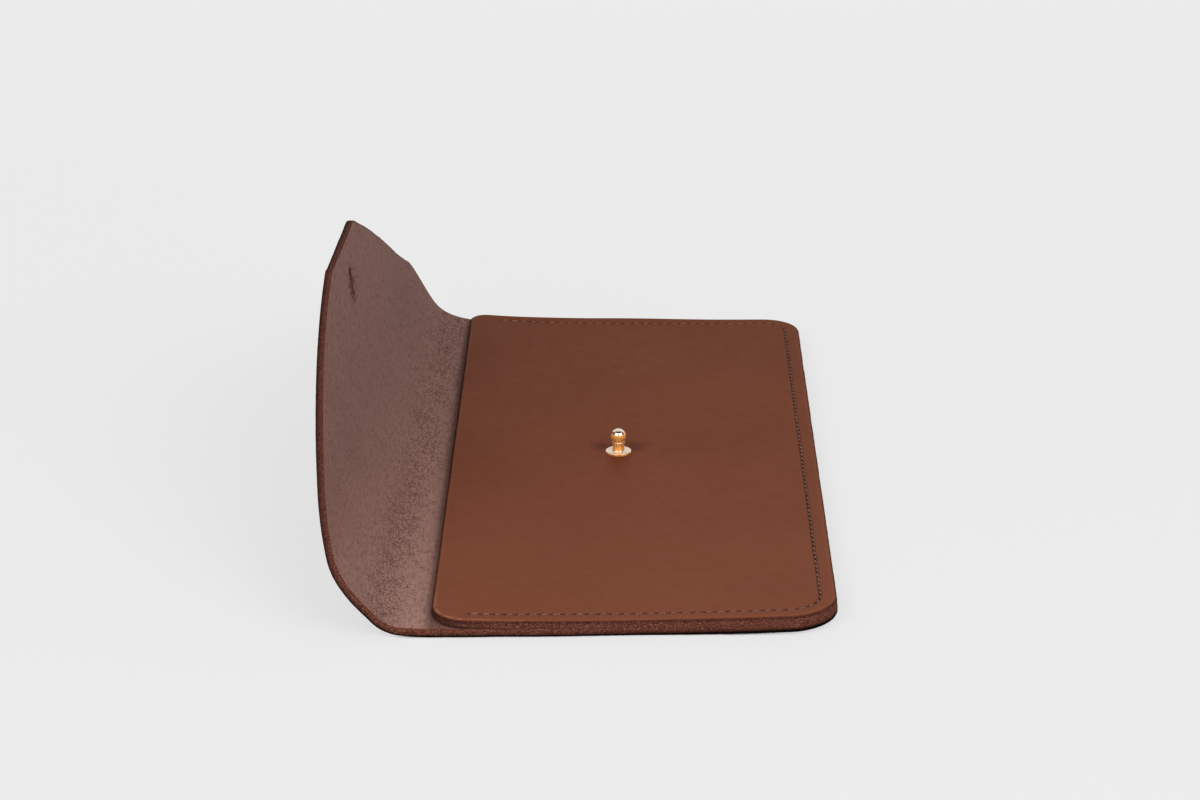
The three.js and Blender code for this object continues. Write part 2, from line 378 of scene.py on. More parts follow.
# Rows of points round an outline: how far in each lies, and how deep under its face.
SEWN_FACE = [(6.6, 0.0), (6.0, 0.0), (5.6, 0.0), (5.3, 0.0), (5.05, 0.0), (4.8, 0.0), (4.55, 0.0), (4.3, 0.0),
             (4.0, 0.0), (3.5, 0.0), (2.6, 0.0)]
PLAIN_FACE = [(6.6, 0.0), (2.6, 0.0)]
GRAIN_RIM = [(1.8, 0.0), (1.2, 0.01), (0.85, 0.04), (0.62, 0.1), (0.44, 0.2), (0.28, 0.34),
             (0.13, 0.52), (0.03, 0.75), (0.0, 1.05)]
OUTER_RIM = [(1.8, 0.0), (1.2, 0.0), (0.85, 0.01), (0.55, 0.04), (0.34, 0.1), (0.18, 0.2),
             (0.06, 0.36), (0.0, 0.58), (0.0, 0.9)]
FLESH_RIM = [(1.8, 0.0), (0.8, 0.0), (0.3, 0.0), (0.1, 0.01), (0.02, 0.06), (0.0, 0.18), (0.0, 0.6)]
KEYHOLE_RIM = [(0.7, 0.0), (0.45, -0.04), (0.2, -0.02), (0.06, 0.12), (0.0, 0.4), (0.0, 0.8)]
STUD_HOLE_TOP = [(3.5, 0.0), (1.0, 0.0), (0.15, 0.0), (0.0, 0.12)]


def rim_rows(top, bottom):
    return [("top", *row) for row in top] + [("bottom", *row) for row in reversed(bottom)]


def stud_hole_rows():
    recess_inset = STUD["recess_radius"] - STUD["hole_radius"]
    bottom = [STUD_HOLE_TOP[0], (recess_inset, 0.0), (recess_inset, STUD["recess"]), (0.0, STUD["recess"])]
    return rim_rows(STUD_HOLE_TOP, bottom)


def crossings_inside(points, loop):
    """Whether each point lies inside a closed loop."""
    p, y = points[:, :1], points[:, 1:]
    p0, y0 = loop.T
    p1, y1 = np.roll(loop, -1, 0).T
    level = np.where(y1 == y0, 1.0, y1 - y0)
    crosses = ((y0 > y) != (y1 > y)) & (p < (p1 - p0) * (y - y0) / level + p0)
    return crosses.sum(1) % 2 == 1


# How far a face's grid keeps from the rows round it, tested against one in so many points of the outline.
GRID_GUARD = {"outline": 1.0, "hole": 0.5, "every": 4}


def inner_points(loop, holes, inset, spacing):
    """Points of an even grid inside the outline's innermost row and outside the holes' outer rows."""
    guard = loop.inset(inset + GRID_GUARD["outline"])
    low = guard.min(0)
    high = guard.max(0)
    counts = np.maximum(np.round((high - low) / spacing).astype(int), 1)
    axes = [np.linspace(low[axis], high[axis], counts[axis] + 1) for axis in (0, 1)]
    grid = np.stack(np.meshgrid(*axes, indexing="ij"), -1).reshape(-1, 2)
    keep = crossings_inside(grid, guard[::GRID_GUARD["every"]])
    for hole, rows in holes:
        keep &= ~crossings_inside(grid, hole.inset(rows[0][1] + GRID_GUARD["hole"]))
    return grid[keep]


def filled(loop, inset, holes, spacing):
    """Triangles that fill the outline's innermost row up to the holes, and the grid points that they use."""
    rings = [loop.inset(inset)] + [hole.inset(rows[0][1]) for hole, rows in holes]
    points = inner_points(loop, holes, inset, spacing)
    edges = []
    first = 0
    for ring in rings:
        numbers = first + np.arange(len(ring))
        edges += np.stack([numbers, np.roll(numbers, -1)], 1).tolist()
        first += len(ring)
    every = np.vstack(rings + [points])
    _, _, faces, origins, _, _ = geometry.delaunay_2d_cdt(every.tolist(), edges, [], 1, 1e-6)
    faces = np.array([[origins[corner][0] for corner in face] for face in faces])
    middles = every[faces].mean(1)
    for ring in rings[1:]:
        faces = faces[~crossings_inside(middles, ring)]
        middles = every[faces].mean(1)
    ahead = every[faces[:, 1]] - every[faces[:, 0]]
    aside = every[faces[:, 2]] - every[faces[:, 0]]
    wrong = ahead[:, 0] * aside[:, 1] < ahead[:, 1] * aside[:, 0]
    faces[wrong] = faces[wrong][:, ::-1]
    return points, faces


def smoothed_noise(draw, shape, reach):
    """Random numbers along a closed line, each averaged with its neighbours."""
    noise = draw.standard_normal(shape)
    total = sum(np.roll(noise, step, -1) for step in range(-reach, reach + 1))
    return total / math.sqrt(2 * reach + 1)


def crease_share(p, y):
    """Where the flap bends most: a slanting band a little past the mouth."""
    middle = CREASE["past_mouth"] - CREASE["slant"] * y
    return bell(MOUTH - p - middle, CREASE["width"])


class Panel:
    """A cut of leather with its rim rows, holes and filled faces, kept as flat points and faces."""

    UPPER, EDGE, LOWER = range(3)
    FACE_DEPTH = 0.36
    FACE_INSET = 0.15
    GRID = 1.9
    EDGE_FRAY = {"outline": 0.035, "hole": 0.02, "width": 0.5, "waver": 1.5, "waver_reach": 12}
    # Width of the hole share round cut holes, which marks fraying and painted shade on their walls.
    HOLE_WEAR_AND_SHADE = 1.0

    def __init__(self, upper, lower, sewn_face, seam, seed):
        self.upper = upper
        self.lower = lower
        self.sewn_face = sewn_face
        self.seam = seam
        self.draw = np.random.default_rng(seed)
        self.flat = []
        self.wear = []
        self.skin = []
        self.faces = []
        self.slots = []
        self.count = 0

    def add_points(self, p, y, h, inset, hole):
        first = self.count
        self.flat.append(np.stack([p, y, h], -1))
        # wear holds the inset, the hole share (painted shade in stitch holes and their groove, fraying and
        # painted shade round cut holes) and the crease share.
        self.wear.append(np.stack([inset, hole, crease_share(p, y)], -1))
        self.skin.append(self.upper(p, y) - h if self.sewn_face == "top" else h - self.lower(p, y))
        self.count += len(p)
        return first + np.arange(len(p))

    def add_faces(self, faces, slot):
        self.faces += faces.tolist()
        self.slots += [slot] * len(faces)

    def add_rim(self, loop, rows, roughness, sewn, flare=0.0):
        """Rows of points round a line, from the upper face over the cut edge to the lower face."""
        numbers = []
        fray = smoothed_noise(self.draw, (len(rows), len(loop.points)), 1)
        waver = smoothed_noise(self.draw, len(loop.points), self.EDGE_FRAY["waver_reach"])
        for row, (face, inset, depth) in enumerate(rows):
            uneven = roughness * fray[row] + self.EDGE_FRAY["waver"] * roughness * waver
            out = uneven * bell(inset, self.EDGE_FRAY["width"])
            if face == "bottom":
                by_mouth = smoothstep(-loop.points[:, 0], *NEAR_FLARE["grows"])
                near = np.maximum(-loop.normals[:, 1], 0.0) * by_mouth
                out = out + flare * near * bell(inset, NEAR_FLARE["width"])
            p, y = (loop.inset(inset) + loop.normals * out[:, None]).T
            up = 1.0 if face == "bottom" else -1.0
            hole = np.full_like(p, 0.0 if sewn else bell(inset, self.HOLE_WEAR_AND_SHADE))
            press = np.zeros_like(p)
            if sewn and face == self.sewn_face:
                press, hole = self.seam.press(seam_places(loop), inset)
            base = self.lower(p, y) if face == "bottom" else self.upper(p, y)
            numbers.append(self.add_points(p, y, base + up * (depth + press), np.full_like(p, inset), hole))
        for row in range(len(rows) - 1):
            here, after = numbers[row], numbers[row + 1]
            quads = np.stack([here, after, np.roll(after, -1), np.roll(here, -1)], 1)
            self.add_faces(quads, self.slot_between(rows[row], rows[row + 1]))
        return numbers[0], numbers[-1]

    def slot_between(self, row, after):
        outermost = min(row[1], after[1])
        deepest = max(row[2], after[2])
        if row[0] != after[0] or outermost < self.FACE_INSET or deepest > self.FACE_DEPTH:
            return self.EDGE
        return self.UPPER if row[0] == "top" else self.LOWER

    def build(self, loop, rows, holes, flare=0.0):
        rims = [self.add_rim(loop, rows, self.EDGE_FRAY["outline"], True, flare)]
        rims += [self.add_rim(hole, hole_rows, self.EDGE_FRAY["hole"], False) for hole, hole_rows in holes]
        inset = rows[0][1]
        points, faces = filled(loop, inset, holes, self.GRID)
        p, y = points.T
        deep = np.full_like(p, inset)
        none = np.zeros_like(p)
        upper = self.add_points(p, y, self.upper(p, y), deep, none)
        lower = self.add_points(p, y, self.lower(p, y), deep, none)
        self.add_faces(np.concatenate([rim[0] for rim in rims] + [upper])[faces], self.UPPER)
        self.add_faces(np.concatenate([rim[1] for rim in rims] + [lower])[faces][:, ::-1], self.LOWER)

    def make(self, name, materials):
        flat = np.concatenate(self.flat)
        mesh = bpy.data.meshes.new(name)
        mesh.from_pydata(bent(*flat.T).tolist(), [], self.faces)
        for material in materials:
            mesh.materials.append(material)
        mesh.polygons.foreach_set("material_index", self.slots)
        mesh.polygons.foreach_set("use_smooth", np.ones(len(self.faces), bool))
        for attribute, values in (("flat", flat), ("wear", np.concatenate(self.wear))):
            layer = mesh.attributes.new(attribute, "FLOAT_VECTOR", "POINT")
            layer.data.foreach_set("vector", values.astype(np.float32).ravel())
        layer = mesh.attributes.new("skin", "FLOAT", "POINT")
        layer.data.foreach_set("value", np.concatenate(self.skin).astype(np.float32))
        mesh.update()
        return add_object(name, mesh)


def add_object(name, mesh):
    piece = bpy.data.objects.new(name, mesh)
    bpy.context.collection.objects.link(piece)
    return piece


def mesh_object(name, points, faces, material):
    """A smooth mesh piece of one material from points in metres."""
    mesh = bpy.data.meshes.new(name)
    mesh.from_pydata(points.tolist(), [], faces)
    mesh.materials.append(material)
    mesh.polygons.foreach_set("use_smooth", np.ones(len(mesh.polygons), bool))
    mesh.update()
    return add_object(name, mesh)


# The thread.
THREAD = {"ply_radius": 0.14, "twist_radius": 0.11, "turns": 1.3, "across": 0.18, "sink": 0.8, "under": 0.02,
          "squareness": 6, "stretch": 0.66, "uneven_stretch": 0.06, "wander": 0.03, "first_strand": -0.2,
          "strand_gap": 0.42}
DOUBLED = 2
PLIES = 2
PLY_SIDES = 6
STITCH_STEPS = 10


def tube(path, radius):
    """Points and faces of a closed round tube along a path in metres."""
    ahead = np.gradient(path, axis=0)
    ahead /= np.linalg.norm(ahead, axis=1)[:, None]
    side = np.cross(ahead, [0.0, 0.0, 1.0])
    side /= np.linalg.norm(side, axis=1)[:, None]
    top = np.cross(side, ahead)
    angles = np.linspace(0.0, 2.0 * math.pi, PLY_SIDES, endpoint=False)
    ring = np.cos(angles)[None, :, None] * side[:, None] + np.sin(angles)[None, :, None] * top[:, None]
    points = (path[:, None] + radius * ring).reshape(-1, 3)
    numbers = np.arange(len(path) * PLY_SIDES).reshape(len(path), PLY_SIDES)
    around = np.roll(numbers, -1, 1)
    quads = np.stack([numbers[:-1], around[:-1], around[1:], numbers[1:]], -1).reshape(-1, 4).tolist()
    return points, quads + [numbers[0][::-1].tolist(), numbers[-1].tolist()]


def stitch_path(seam, number, ply, side, aside, stretch):
    """The way of one ply of a stitch: out of a hole, along the leather and into the next hole."""
    height, up, offset = side
    share = np.linspace(0.0, 1.0, STITCH_STEPS)
    out = 1.0 - np.abs(2.0 * share - 1.0) ** THREAD["squareness"]
    twist = 2.0 * math.pi * (THREAD["turns"] * share + ply / PLIES)
    place = (number + 0.5 + (share - 0.5) * stretch) * seam.pitch
    across = THREAD["across"] * (1.0 - 2.0 * share) + aside + THREAD["twist_radius"] * np.cos(twist)
    p, y = seam.at(place, across)
    lift = -THREAD["sink"] + THREAD["sink"] * out
    h = height(p, y) + offset + up * (lift + THREAD["twist_radius"] * np.sin(twist))
    return bent(p, y, h)


def seam_thread(seam, material):
    """The stitches on both faces, single but for the first and last few, each of twisted plies."""
    points = []
    faces = []
    count = 0
    draw = np.random.default_rng(SEEDS["thread"])
    under = THREAD["ply_radius"] + THREAD["twist_radius"] + THREAD["under"]
    sides = (
        (front_upper, 1.0, -SEAM["groove"]),
        (back_lower, -1.0, under),
    )
    for side in sides:
        for number in range(seam.count):
            doubled = number < DOUBLED or number >= seam.count - DOUBLED
            for strand in range(2 if doubled else 1):
                aside = THREAD["strand_gap"] * strand + THREAD["first_strand"] if doubled else 0.0
                aside += draw.normal(0.0, THREAD["wander"])
                stretch = THREAD["stretch"] + draw.normal(0.0, THREAD["uneven_stretch"])
                for ply in range(PLIES):
                    path = stitch_path(seam, number, ply, side, aside, stretch)
                    made, quads = tube(path, THREAD["ply_radius"] * MM)
                    points.append(made)
                    faces += [[corner + count for corner in face] for face in quads]
                    count += len(made)
    return mesh_object("seam_thread", np.concatenate(points), faces, material)


# The ball stud.
BALL = {"radius": 2.42, "middle": 5.47, "joint_radius": 1.84, "below_middle": 0.7, "steps": 36}
BORE_DEPTH = 5.0
LATHE_SIDES = 96


def stud_profile():
    """Radius and height, from the blind bore under the flange over rim and neck to the top of the ball."""
    bore = [(0.0, BORE_DEPTH), (STUD["hole_radius"], BORE_DEPTH), (STUD["hole_radius"], 0.0)]
    flange = [(3.86, 0.0), (3.96, 0.03), (4.0, 0.1), (4.0, 0.35), (4.0, 0.6),
              (3.99, 0.64), (3.95, 0.675), (3.88, 0.69), (3.7, 0.7), (2.6, 0.71)]
    neck = [(2.22, 0.75), (2.02, 0.86), (1.9, 1.04), (1.84, 1.3), (1.83, 2.2), (1.88, 3.0), (1.96, 3.62),
            (1.93, 3.7), (1.78, 3.76), (1.74, 3.83), (1.78, 3.89)]
    low = -math.acos(BALL["joint_radius"] / BALL["radius"])
    angles = np.linspace(low, math.pi / 2.0, BALL["steps"])
    radius, middle = BALL["radius"], BALL["middle"]
    ball = [(radius * math.cos(angle), middle + radius * math.sin(angle)) for angle in angles]
    ball[-1] = (0.0, middle + radius)
    return np.array(bore + flange + neck + ball)


def ball_stud(base, material):
    """The turned stud, its profile run round its axis."""
    profile = stud_profile()
    angles = np.linspace(0.0, 2.0 * math.pi, LATHE_SIDES, endpoint=False)
    turned = profile[1:-1]
    ring = np.stack([np.cos(angles), np.sin(angles)], 1)
    around = turned[:, None, :1] * ring[None]
    heights = np.broadcast_to(turned[:, None, 1:], (len(turned), LATHE_SIDES, 1))
    points = np.concatenate([around, heights], 2).reshape(-1, 3)
    points = np.vstack([points, [0.0, 0.0, profile[0, 1]], [0.0, 0.0, profile[-1, 1]]])
    numbers = np.arange(len(turned) * LATHE_SIDES).reshape(len(turned), LATHE_SIDES)
    after = np.roll(numbers, -1, 1)
    faces = np.stack([numbers[:-1], after[:-1], after[1:], numbers[1:]], -1).reshape(-1, 4).tolist()
    inner, top = len(points) - 2, len(points) - 1
    faces += [[inner, second, first] for first, second in zip(numbers[0], after[0])]
    faces += [[first, second, top] for first, second in zip(numbers[-1], after[-1])]
    return mesh_object("ball_stud", (points + base) * MM, faces, material)


# Materials.
WHITE = (1.0, 1.0, 1.0, 1.0)


def tone(red, green, blue):
    """A colour as a screen shows it, made linear."""
    values = [channel / 255.0 for channel in (red, green, blue)]
    return tuple(v / 12.92 if v <= 0.04045 else ((v + 0.055) / 1.055) ** 2.4 for v in values) + (1.0,)


class Graph:
    """The nodes of a material or world, made by calls that take numbers, colours or other nodes' outputs."""

    def __init__(self, owner):
        self.owner = owner
        owner.use_nodes = True
        self.tree = owner.node_tree
        self.tree.nodes.clear()

    def node(self, kind, inputs, **settings):
        made = self.tree.nodes.new("ShaderNode" + kind)
        for name, value in settings.items():
            setattr(made, name, value)
        for key, value in inputs.items():
            if isinstance(value, bpy.types.NodeSocket):
                self.tree.links.new(value, made.inputs[key])
            else:
                made.inputs[key].default_value = value
        return made

    def attribute(self, name):
        return self.node("Attribute", {}, attribute_name=name).outputs["Vector"]

    def parts(self, vector):
        made = self.node("SeparateXYZ", {"Vector": vector})
        return made.outputs["X"], made.outputs["Y"], made.outputs["Z"]

    def stretched(self, vector, scale):
        return self.node("Mapping", {"Vector": vector, "Scale": scale}).outputs["Vector"]

    def noise(self, vector, size, detail=3.0, roughness=0.55, distortion=0.0):
        inputs = {"Vector": vector, "Scale": 1.0 / size, "Detail": detail, "Roughness": roughness,
                  "Distortion": distortion}
        return self.node("TexNoise", inputs).outputs["Fac"]

    def cells(self, vector, size, feature="F1"):
        inputs = {"Vector": vector, "Scale": 1.0 / size}
        return self.node("TexVoronoi", inputs, feature=feature).outputs["Distance"]

    def span(self, value, low, high, to_low=0.0, to_high=1.0):
        inputs = {"Value": value, "From Min": low, "From Max": high, "To Min": to_low, "To Max": to_high}
        return self.node("MapRange", inputs, clamp=True).outputs["Result"]

    def fading(self, value, low, high):
        return self.span(value, low, high, 1.0, 0.0)

    def math(self, operation, first, second):
        return self.node("Math", {0: first, 1: second}, operation=operation).outputs[0]

    def plus(self, first, second):
        return self.math("ADD", first, second)

    def minus(self, first, second):
        return self.math("SUBTRACT", first, second)

    def times(self, first, second):
        return self.math("MULTIPLY", first, second)

    def away(self, value, place):
        """How far a value lies from a place, on either side."""
        return self.math("ABSOLUTE", self.minus(value, place), 0.0)

    def mix(self, share, first, second):
        made = self.node("Mix", {"Factor": share}, data_type="RGBA")
        for socket, value in ((made.inputs[6], first), (made.inputs[7], second)):
            if isinstance(value, bpy.types.NodeSocket):
                self.tree.links.new(value, socket)
            else:
                socket.default_value = value
        return made.outputs[2]

    def bump(self, height, depth, below=None):
        """A bump whose height of 0 to 1 stands for a depth in millimetres, over another bump."""
        inputs = {"Height": height, "Distance": depth * MM, "Strength": 1.0}
        if below is not None:
            inputs["Normal"] = below
        return self.node("Bump", inputs).outputs["Normal"]

    def surface(self, **inputs):
        sockets = {name.replace("_", " "): value for name, value in inputs.items()}
        shader = self.node("BsdfPrincipled", sockets)
        self.node("OutputMaterial", {"Surface": shader.outputs["BSDF"]})
        return self.owner


def grain_leather(name):
    """Smooth satin grain with fine pores, painted lighter to the near side, with a painted reflection and
    shadow round the stud, darker along its rim and with painted shade in its stitch holes.
    """
    g = Graph(bpy.data.materials.new(name))
    flat = g.attribute("flat")
    along, across, height = g.parts(flat)
    inset, hole, _ = g.parts(g.attribute("wear"))
    cloud = g.noise(flat, 60.0, 3.0)
    mottle = g.noise(flat, 5.0, 4.0, 0.6)
    fine = g.noise(flat, 0.8, 3.0, 0.6)
    color = g.mix(g.span(cloud, 0.35, 0.65), tone(103, 56, 37), tone(107, 60, 41))
    # Painted light: the leather lighter towards the near side.
    color = g.mix(g.span(across, -80.0, -30.0, 0.38, 0.0), color, tone(113, 66, 47))
    color = g.mix(g.span(mottle, 0.35, 0.75, 0.0, 0.2), color, tone(101, 54, 36))
    color = g.mix(g.span(fine, 0.55, 0.75, 0.0, 0.15), color, tone(124, 74, 52))

    # Painted reflection: a darker strip before the stud, where it hides the leather's sheen, and the stud's
    # painted shadow at both sides behind it.
    on_front = g.span(height, 3.0, 3.5)
    from_stud = g.away(along, STUD["p"])
    before = g.times(g.span(across, -24.0, -5.0), g.fading(across, -3.5, -2.0))
    before = g.times(before, g.fading(from_stud, 1.0, 4.5))
    color = g.mix(g.times(before, on_front), color, tone(98, 47, 29))
    beside = g.fading(g.away(from_stud, 5.5), 0.5, 4.0)
    shadow = g.times(beside, g.span(g.away(across, 4.5), 0.5, 5.5, 0.6, 0.0))
    color = g.mix(g.times(shadow, on_front), color, tone(80, 42, 29))

    # A thin pale line inside the rim, partly wear and partly painted highlight, strongest at the near mouth
    # corner, the dark rim, and painted shade in the stitch holes and their groove.
    pale = g.times(g.span(inset, 0.5, 0.8), g.fading(inset, 0.8, 1.7))
    corner = g.times(g.fading(along, MOUTH, -25.0), g.fading(across, -HALF_DEPTH, -105.0))
    wear_and_highlight = g.times(corner, g.span(g.noise(flat, 1.6, 3.0), 0.35, 0.6, 0.0, 0.6))
    color = g.mix(g.times(pale, g.plus(wear_and_highlight, 0.06)), color, tone(168, 112, 88))
    ragged = g.plus(inset, g.span(g.noise(flat, 0.9, 3.0, 0.6), 0.3, 0.7, -0.16, 0.16))
    color = g.mix(g.span(ragged, 0.25, 0.7, 0.85, 0.0), color, tone(66, 35, 29))
    color = g.mix(g.span(hole, 0.12, 0.75), color, tone(24, 12, 9))

    pores = g.cells(flat, 0.5, "SMOOTH_F1")
    normal = g.bump(g.noise(flat, 9.0, 3.0), 0.02)
    normal = g.bump(pores, 0.025, normal)
    normal = g.bump(fine, 0.04, normal)
    rough = g.span(mottle, 0.3, 0.7, 0.5, 0.62)
    return g.surface(Base_Color=color, Roughness=rough, Normal=normal, Specular_IOR_Level=0.02)


def flesh_leather(name):
    """Suede flesh side: pinkish nap with short fibres, dark specks where it bends and wear at the keyhole."""
    g = Graph(bpy.data.materials.new(name))
    flat = g.attribute("flat")
    along, across, _ = g.parts(flat)
    inset, hole, crease = g.parts(g.attribute("wear"))
    cloud = g.noise(flat, 30.0, 3.0)
    nap = g.noise(flat, 0.5, 4.0, 0.7)
    fibres = g.noise(g.stretched(flat, (1.0, 0.4, 1.0)), 0.9, 4.0, 0.65, 0.4)
    tufts = g.noise(g.stretched(flat, (1.0, 0.3, 1.0)), 1.1, 3.0, 0.6)
    color = g.mix(g.span(cloud, 0.35, 0.65), tone(117, 86, 78), tone(122, 91, 83))
    by_tip = g.span(along, TIP + 38.0, TIP + 62.0, 1.0, 0.05)
    color = g.mix(g.times(g.span(across, -55.0, 60.0, 0.1, 1.0), by_tip), color, tone(135, 102, 94))
    by_mouth = g.span(along, MOUTH - 42.0, MOUTH - 6.0)
    color = g.mix(g.times(by_mouth, g.span(across, -120.0, 110.0, 0.8, 0.45)), color, tone(149, 114, 104))
    color = g.mix(g.span(fibres, 0.4, 0.75, 0.0, 0.45), color, tone(96, 66, 58))
    color = g.mix(g.span(nap, 0.5, 0.8, 0.0, 0.6), color, tone(156, 124, 115))
    color = g.mix(g.span(tufts, 0.5, 0.68, 0.0, 0.6), color, tone(100, 69, 61))

    # Shade along the mouth, deeper to the far side.
    by_far = g.span(across, -60.0, 120.0)
    shade = g.span(g.minus(along, g.times(by_far, 0.5)), MOUTH - 3.0, MOUTH - 0.7, 0.0, 0.72)
    color = g.mix(shade, color, g.mix(by_far, tone(82, 54, 47), tone(72, 41, 37)))

    # Dark specks, larger where the flap bends and at its tip.
    wide = g.plus(crease, g.span(g.noise(flat, 9.0, 3.0), 0.35, 0.65, -0.2, 0.25))
    worn_tip = g.times(g.span(along, TIP + 4.0, TIP + 13.0, 0.4, 0.0), g.span(across, -8.0, 6.0))
    radius = g.span(g.plus(wide, worn_tip), -0.1, 1.1, 0.1, 0.42)
    ragged = g.plus(radius, g.span(g.noise(flat, 0.45, 2.0), 0.3, 0.7, -0.16, 0.16))
    speck = g.span(g.minus(g.cells(flat, 0.72), ragged), -0.05, 0.05, 0.9, 0.0)
    color = g.mix(speck, color, tone(72, 34, 27))

    # The flap's pale rim, and the torn fibres round the keyhole.
    free = g.times(g.fading(inset, 0.1, 0.7), g.fading(along, MOUTH - 4.0, MOUTH))
    color = g.mix(g.times(free, g.span(nap, 0.45, 0.7, 0.0, 0.6)), color, tone(156, 120, 108))
    lengthwise = g.away(along, TIP + KEYHOLE["from_tip"] + KEYHOLE["slit"] / 2.0)
    sideways = g.away(across, KEYHOLE["aside"])
    handled = g.times(g.fading(lengthwise, 3.0, 8.5), g.fading(sideways, 0.5, 10.0))
    torn = g.span(g.noise(g.stretched(flat, (1.0, 0.2, 1.0)), 0.8, 2.0, 0.6), 0.35, 0.65, -0.4, 0.4)
    color = g.mix(g.span(g.plus(handled, torn), 0.5, 0.95, 0.0, 0.9), color, tone(70, 37, 30))
    frayed = g.times(hole, g.span(fibres, 0.35, 0.6, 0.3, 1.0))
    color = g.mix(g.span(frayed, 0.45, 0.95, 0.0, 0.7), color, tone(60, 30, 23))

    normal = g.bump(nap, 0.1, g.bump(fibres, 0.12))
    return g.surface(Base_Color=color, Roughness=0.92, Normal=normal, Specular_IOR_Level=0.1)


def cut_leather(name, rim_depth, rim_share, under_shade, shaded):
    """Raw cut edge: reddish brown fibres with pale and dark flecks, with painted shade close to the grain."""
    g = Graph(bpy.data.materials.new(name))
    flat = g.attribute("flat")
    along, _, _ = g.parts(flat)
    _, hole, _ = g.parts(g.attribute("wear"))
    skin = g.node("Attribute", {}, attribute_name="skin").outputs["Fac"]
    layers = g.noise(g.stretched(flat, (1.0, 1.0, 2.0)), 1.0, 4.0, 0.65, 0.5)
    flecks = g.noise(flat, 0.38, 3.0, 0.7)
    color = g.mix(g.span(layers, 0.3, 0.7), tone(64, 30, 22), tone(110, 62, 48))
    color = g.mix(g.span(flecks, 0.54, 0.66, 0.0, 0.85), color, tone(142, 100, 86))
    color = g.mix(g.span(flecks, 0.34, 0.46, 0.85, 0.0), color, tone(36, 16, 12))
    color = g.mix(g.span(along, TIP + 35.0, TIP + 65.0, 0.45, 0.0), color, tone(58, 34, 29))
    # Painted shade: the edge darker close to the grain, under its rounded rim, and on the front towards the
    # mouth.
    ragged = g.plus(skin, g.span(layers, 0.3, 0.7, -0.3, 0.3))
    color = g.mix(g.span(ragged, rim_depth * 0.4, rim_depth, rim_share, 0.0), color, tone(30, 11, 6))
    color = g.mix(g.span(along, MOUTH, -38.0, shaded, 0.0), color, tone(36, 17, 13))

    # Painted shade low on the edge towards the closed end, and a painted contact shadow next to the grain,
    # which is wider there.
    low_shade = g.times(g.span(along, -40.0, 25.0, 0.0, 0.85), g.fading(skin, 1.2, 2.1))
    color = g.mix(g.times(low_shade, under_shade), color, tone(52, 23, 17))
    lifted = g.minus(skin, g.span(along, -10.0, 50.0, 0.0, 0.5))
    contact_shade = g.times(g.fading(lifted, 0.6, 0.8), g.span(along, MOUTH - 40.0, MOUTH - 20.0))
    color = g.mix(g.times(contact_shade, under_shade), color, tone(8, 3, 2))
    # Painted shade on the walls of the holes.
    color = g.mix(g.span(hole, 0.5, 1.0, 0.0, 0.4), color, tone(46, 22, 16))

    normal = g.bump(flecks, 0.2, g.bump(layers, 0.25))
    return g.surface(Base_Color=color, Roughness=0.9, Normal=normal, Specular_IOR_Level=0.05)


def waxed_thread(name):
    """Taupe waxed thread, closer to the leather's brown along the near and the far side."""
    g = Graph(bpy.data.materials.new(name))
    place = g.node("TexCoord", {}).outputs["Object"]
    _, depth, _ = g.parts(place)
    fibre = g.noise(place, 0.35 * MM, 3.0, 0.6)
    long_tone = g.noise(place, 9.0 * MM, 2.0)
    color = g.mix(g.span(fibre, 0.3, 0.7), tone(74, 49, 40), tone(149, 111, 96))
    color = g.mix(g.span(long_tone, 0.35, 0.65, 0.0, 0.4), color, tone(74, 49, 40))
    far = g.span(depth, 110.0 * MM, 120.0 * MM, 0.0, 0.6)
    near = g.span(depth, -122.5 * MM, -120.0 * MM, 0.5, 0.0)
    color = g.mix(g.plus(far, near), color, tone(112, 68, 52))
    return g.surface(Base_Color=color, Roughness=0.5, Normal=g.bump(fibre, 0.05))


def brass(name, neck_rough, ball_rough, ball_from):
    """Turned brass, pale where it faces up and orange on its sides as a painted reflection, with streaks along
    its neck.
    """
    g = Graph(bpy.data.materials.new(name))
    place = g.node("TexCoord", {}).outputs["Object"]
    _, _, height = g.parts(place)
    _, _, up = g.parts(g.node("NewGeometry", {}).outputs["Normal"])
    turning = g.noise(g.stretched(place, (0.1, 0.1, 1.0)), 0.16 * MM, 3.0)
    streaks = g.noise(g.stretched(place, (1.0, 1.0, 0.06)), 0.55 * MM, 2.0)
    patina = g.noise(place, 2.0 * MM, 3.0)
    on_ball = g.span(height, ball_from * MM, (ball_from + 0.8) * MM)
    # Painted reflection: pale where the brass faces up to the white far wall, orange on the sides that face the
    # leather.
    color = g.mix(g.span(up, 0.3, 0.7), tone(255, 175, 90), tone(248, 232, 212))
    color = g.mix(g.span(patina, 0.4, 0.7, 0.0, 0.2), color, tone(240, 180, 120))
    streaked = g.times(g.fading(on_ball, 0.0, 1.0), g.span(streaks, 0.42, 0.6, 0.0, 0.8))
    color = g.mix(g.times(streaked, g.fading(up, 0.3, 0.7)), color, tone(150, 92, 44))
    metallic = g.span(up, 0.32, 0.55, 0.45, 0.97)
    rough = g.span(on_ball, 0.0, 1.0, neck_rough, ball_rough)
    around = g.node("Tangent", {}, direction_type="RADIAL", axis="Z").outputs["Tangent"]
    return g.surface(Base_Color=color, Metallic=metallic, Roughness=rough, Normal=g.bump(turning, 0.006),
                     Anisotropic=0.8, Anisotropic_Rotation=0.25, Tangent=around)


# The table: half its size, its drop, and the depths between which its glow grows, in metres, and how far its
# contact shade reaches, in millimetres.
FLOOR = {"half": 6.0, "drop": 0.00005, "depths": (-0.23, 0.62), "glow": (0.618, 0.722), "contact": 0.9}


